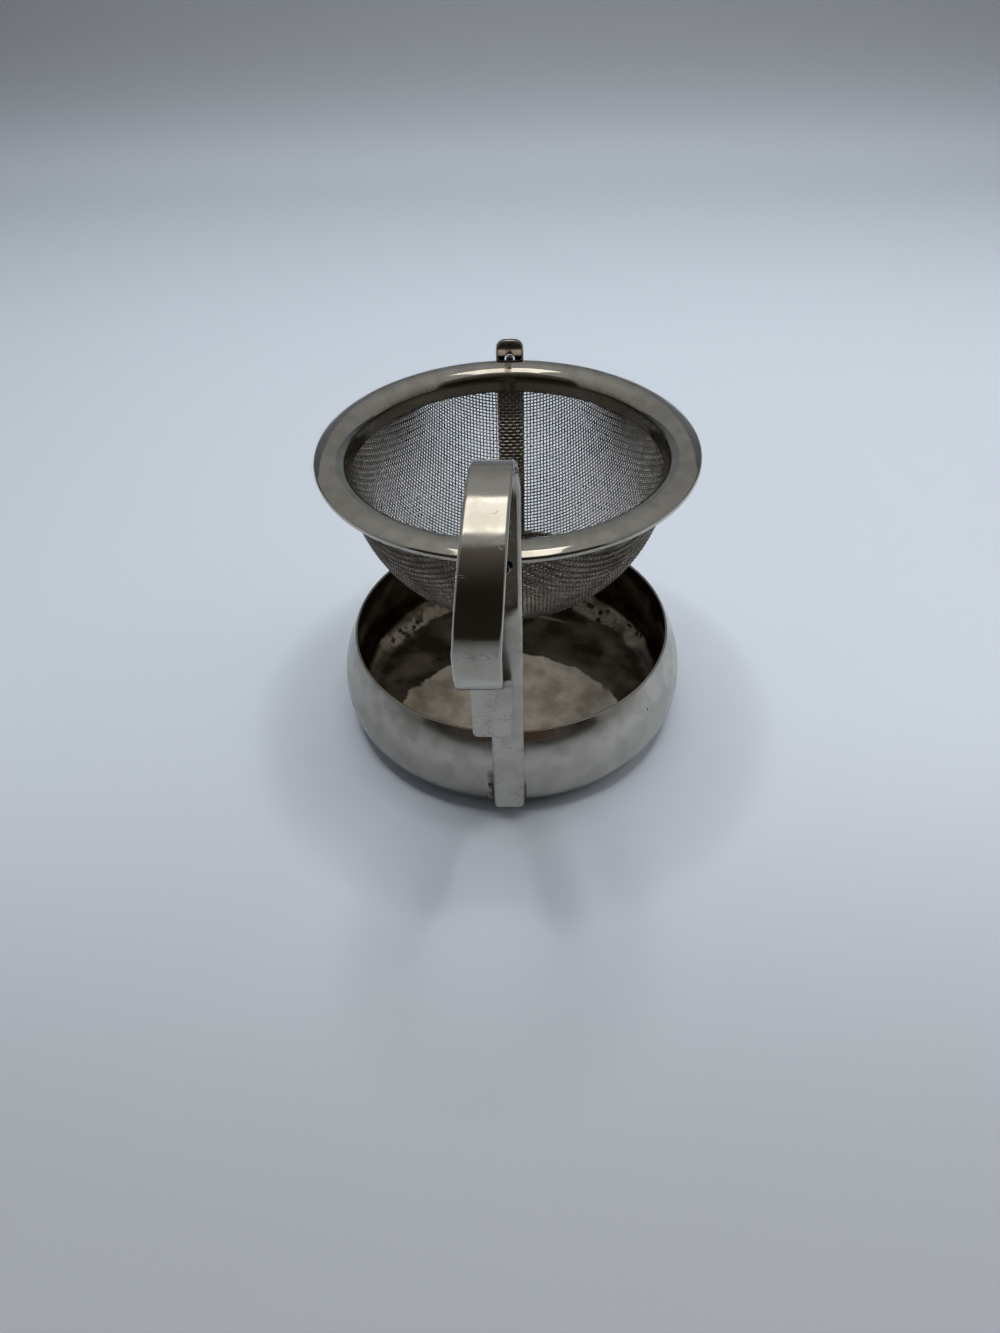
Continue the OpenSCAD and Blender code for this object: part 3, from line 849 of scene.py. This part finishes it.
# %% [markdown]
# The strainer stands on a pale sheet that curves up behind it. Metal shows its surroundings, so these matter
# as much as the finishes. The sheet is darker towards the front, where its light falls off, painted lighter
# behind the strainer as painted light, and painted darker up the cove and wall as painted shade. It is matt,
# so that it shows no shine of its own. Far from the strainer, what the camera sees of it fades into the pale
# background. Borders here are in metres.

# %% The floor and its backdrop
# The second colour is painted shade for the cove and the wall.
FLOOR_COLOUR, WALL_SHADE_COLOUR = colour_of(0.56, 0.62, 0.70), colour_of(0.36, 0.385, 0.42)
FRONT_COLOUR, FRONT_EDGE = colour_of(0.38, 0.405, 0.45), (-0.13, 0.0)
FAR_COLOUR, FAR_EDGE = colour_of(0.17, 0.175, 0.18), (-0.36, -0.15)
# Painted light: the sheet is lighter behind the strainer.
BACK_LIGHT_COLOUR, BACK_EDGE = colour_of(0.61, 0.68, 0.77), (0.05, 0.25)
BACKGROUND, BLACK = colour_of(0.52, 0.55, 0.585), colour_of(0, 0, 0)
FLOOR_HALF, FLOOR_ROUGH, COVE_Y, COVE_R, WALL_TOP, WALL_FROM = 1.5, 0.6, 0.40, 0.12, 0.30, 0.03
FADE_R, FADE_BACK, FADE_UP, FADE_ASIDE = (0.30, 0.60), (0.15, 0.30), (0.09, 0.20), (0.40, 0.65)


def stage_sheet(name, points, faces, colour, roughness):
    mesh = bpy.data.meshes.new(name)
    mesh.from_pydata(points, [], faces)
    mesh.shade_smooth()
    made = bpy.data.objects.new(name, mesh)
    bpy.context.scene.collection.objects.link(made)
    material = bpy.data.materials.new(name)
    material.use_nodes = True
    shader = material.node_tree.nodes["Principled BSDF"]
    shader.inputs["Base Color"].default_value = colour
    shader.inputs["Roughness"].default_value = roughness
    shader.inputs["Specular IOR Level"].default_value = 0
    shader.inputs["Emission Strength"].default_value = 1
    mesh.materials.append(material)
    print(name, "has", len(mesh.polygons), "faces")
    return material.node_tree, shader, made


def floor():
    cove = np.radians(np.linspace(0, 90, 25))
    curve = [(COVE_Y + COVE_R * math.sin(a), COVE_R * (1 - math.cos(a))) for a in cove]
    line = [(-FLOOR_HALF, 0.0)] + curve + [(COVE_Y + COVE_R, WALL_TOP)]
    points = [(x, y, z) for y, z in line for x in (-FLOOR_HALF, FLOOR_HALF)]
    faces = [(2 * k, 2 * k + 1, 2 * k + 3, 2 * k + 2) for k in range(len(line) - 1)]
    tree, shader, _ = stage_sheet("floor", points, faces, FLOOR_COLOUR, FLOOR_ROUGH)
    place = Tone(tree).node("ShaderNodeTexCoord", output="Object")
    across, along, up = part_of(place, "X"), part_of(place, "Y"), part_of(place, "Z")
    colour = blend(ramp(along, *FRONT_EDGE), FRONT_COLOUR, FLOOR_COLOUR)
    colour = blend(ramp(along, *FAR_EDGE), FAR_COLOUR, colour)
    # Painted light behind the strainer.
    colour = blend(ramp(along, *BACK_EDGE), colour, BACK_LIGHT_COLOUR)
    # Painted shade up the cove and the wall.
    colour = blend(ramp(along, COVE_Y + WALL_FROM, COVE_Y + COVE_R), colour, WALL_SHADE_COLOUR)
    far_out = ramp(far_from(place, (0, 0, 0)), *FADE_R) * fade(along, *FADE_BACK)
    kept = (1 - far_out) * fade(up, *FADE_UP) * fade(size_of(across), *FADE_ASIDE)
    faded = (1 - kept) * along.node("ShaderNodeLightPath", output="Is Camera Ray")
    tree.links.new(blend(faded, colour, BLACK).socket, shader.inputs["Base Color"])
    tree.links.new(blend(faded, BLACK, BACKGROUND).socket, shader.inputs["Emission Color"])


floor()

# %% [markdown]
# A ring of small lamps overhead lights the scene, so that the rim and the loop cast wide soft shadows, and a
# weak lamp on the right lifts that side. What shows in the metal is a separate glowing panel overhead,
# brighter towards its front and back edges, and a dark panel on the side from which the picture was taken.
# With lamps and panels kept apart, the shadows and the reflections can each have the right strength.

# %% Lamps, and what the metal sees
LAMP_Z, LAMP_Y, LAMP_RING_R, LAMP_COUNT = 0.60, 0.04, 0.155, 24
LAMP_R, LAMP_POWER, LAMP_WHITE = 0.012, 2.6, (1.0, 0.98, 0.95)
RIGHT_AT, RIGHT_AIM, RIGHT_R = (0.40, 0.05, 0.30), (0, 0, 0.03), 0.15
RIGHT_POWER, RIGHT_WARM = 0.50, (1.0, 0.94, 0.88)
PANEL_Y, PANEL_LONG, PANEL_WIDE, PANEL_EDGE = -0.104, 0.137, 0.16, (0.085, 0.12)
PANEL_MIDDLE, PANEL_RIM = colour_of(1.80, 1.74, 1.62), colour_of(2.45, 2.40, 2.25)
DARK_Y, DARK_WIDE, DARK_TOP, DARK_RISE = -0.372, 0.5, 0.64, (0.20, 0.60)
DARK_LOW, DARK_HIGH = colour_of(0.020, 0.0165, 0.0125), colour_of(0.12, 0.11, 0.095)


def disc_lamp(name, place, aim, radius, power, colour):
    light = bpy.data.lights.new(name, "AREA")
    light.shape, light.size = "DISK", 2 * radius
    light.energy, light.color = power, colour
    lamp = bpy.data.objects.new(name, light)
    lamp.location = place
    lamp.rotation_euler = (Vector(place) - Vector(aim)).to_track_quat("Z", "Y").to_euler()
    lamp.visible_camera = lamp.visible_glossy = False
    bpy.context.scene.collection.objects.link(lamp)


def glowing_panel(name, points, light_at):
    tree, shader, panel = stage_sheet(name, points, [list(range(len(points)))], BLACK, 1.0)
    light = light_at(Tone(tree).node("ShaderNodeTexCoord", output="Object"))
    tree.links.new(light.socket, shader.inputs["Emission Color"])
    panel.visible_camera = panel.visible_diffuse = False
    panel.visible_shadow = panel.visible_transmission = False


def overhead_light(place):
    to_edge = ramp(size_of(part_of(place, "Y") - PANEL_Y), *PANEL_EDGE)
    return blend(to_edge, PANEL_MIDDLE, PANEL_RIM)


def dark_side_light(place):
    return blend(ramp(part_of(place, "Z"), *DARK_RISE), DARK_LOW, DARK_HIGH)


def lamps_and_panels():
    for number, angle in enumerate(np.linspace(0, 2 * math.pi, LAMP_COUNT, endpoint=False)):
        place = (LAMP_RING_R * math.cos(angle), LAMP_Y + LAMP_RING_R * math.sin(angle), LAMP_Z)
        disc_lamp(f"lamp_overhead_{number}", place, (0, 0, 0), LAMP_R, LAMP_POWER / LAMP_COUNT, LAMP_WHITE)
    disc_lamp("lamp_right", RIGHT_AT, RIGHT_AIM, RIGHT_R, RIGHT_POWER, RIGHT_WARM)
    corners = [(-1, -1), (1, -1), (1, 1), (-1, 1)]
    overhead = [(x * PANEL_WIDE, PANEL_Y + y * PANEL_LONG, LAMP_Z) for x, y in corners]
    glowing_panel("panel_overhead", overhead, overhead_light)
    dark_side = [(x * DARK_WIDE, DARK_Y, (1 + y) / 2 * DARK_TOP) for x, y in corners]
    glowing_panel("panel_dark_side", dark_side, dark_side_light)
    print("Lamps:", len(bpy.data.lights))


lamps_and_panels()

# %% [markdown]
# The rest of the light comes from the room. Bare walls and ceiling light the strainer softly from all sides
# but the front. The metal sees them a little dimmer than they light, and the camera sees the pale background.
# A picture of a room could stand around the strainer, but two colours and a soft border are enough here.

# %% The soft light of the room
ROOM_LIGHT, FRONT_LIGHT = colour_of(0.41, 0.42, 0.435), colour_of(0.06, 0.058, 0.055)
ROOM_SEEN, CEILING_SEEN = colour_of(0.28, 0.285, 0.285), colour_of(0.40, 0.405, 0.405)
FRONT_SIDE, CEILING = (-0.7, 0.1), (0.55, 0.97)


def room():
    world = bpy.data.worlds.new("room")
    world.use_nodes = True
    bpy.context.scene.world = world
    tree = world.node_tree
    way = Tone(tree).node("ShaderNodeTexCoord", output="Generated")
    light = blend(ramp(part_of(way, "Y"), *FRONT_SIDE), FRONT_LIGHT, ROOM_LIGHT)
    seen = blend(ramp(part_of(way, "Z"), *CEILING), ROOM_SEEN, CEILING_SEEN)
    shown = blend(way.node("ShaderNodeLightPath", output="Is Glossy Ray"), light, seen)
    shown = blend(way.node("ShaderNodeLightPath", output="Is Camera Ray"), shown, BACKGROUND)
    tree.links.new(shown.socket, tree.nodes["Background"].inputs["Color"])
    print("The room has", len(tree.nodes), "nodes")


room()
bpy.context.scene.view_settings.view_transform = "Standard"
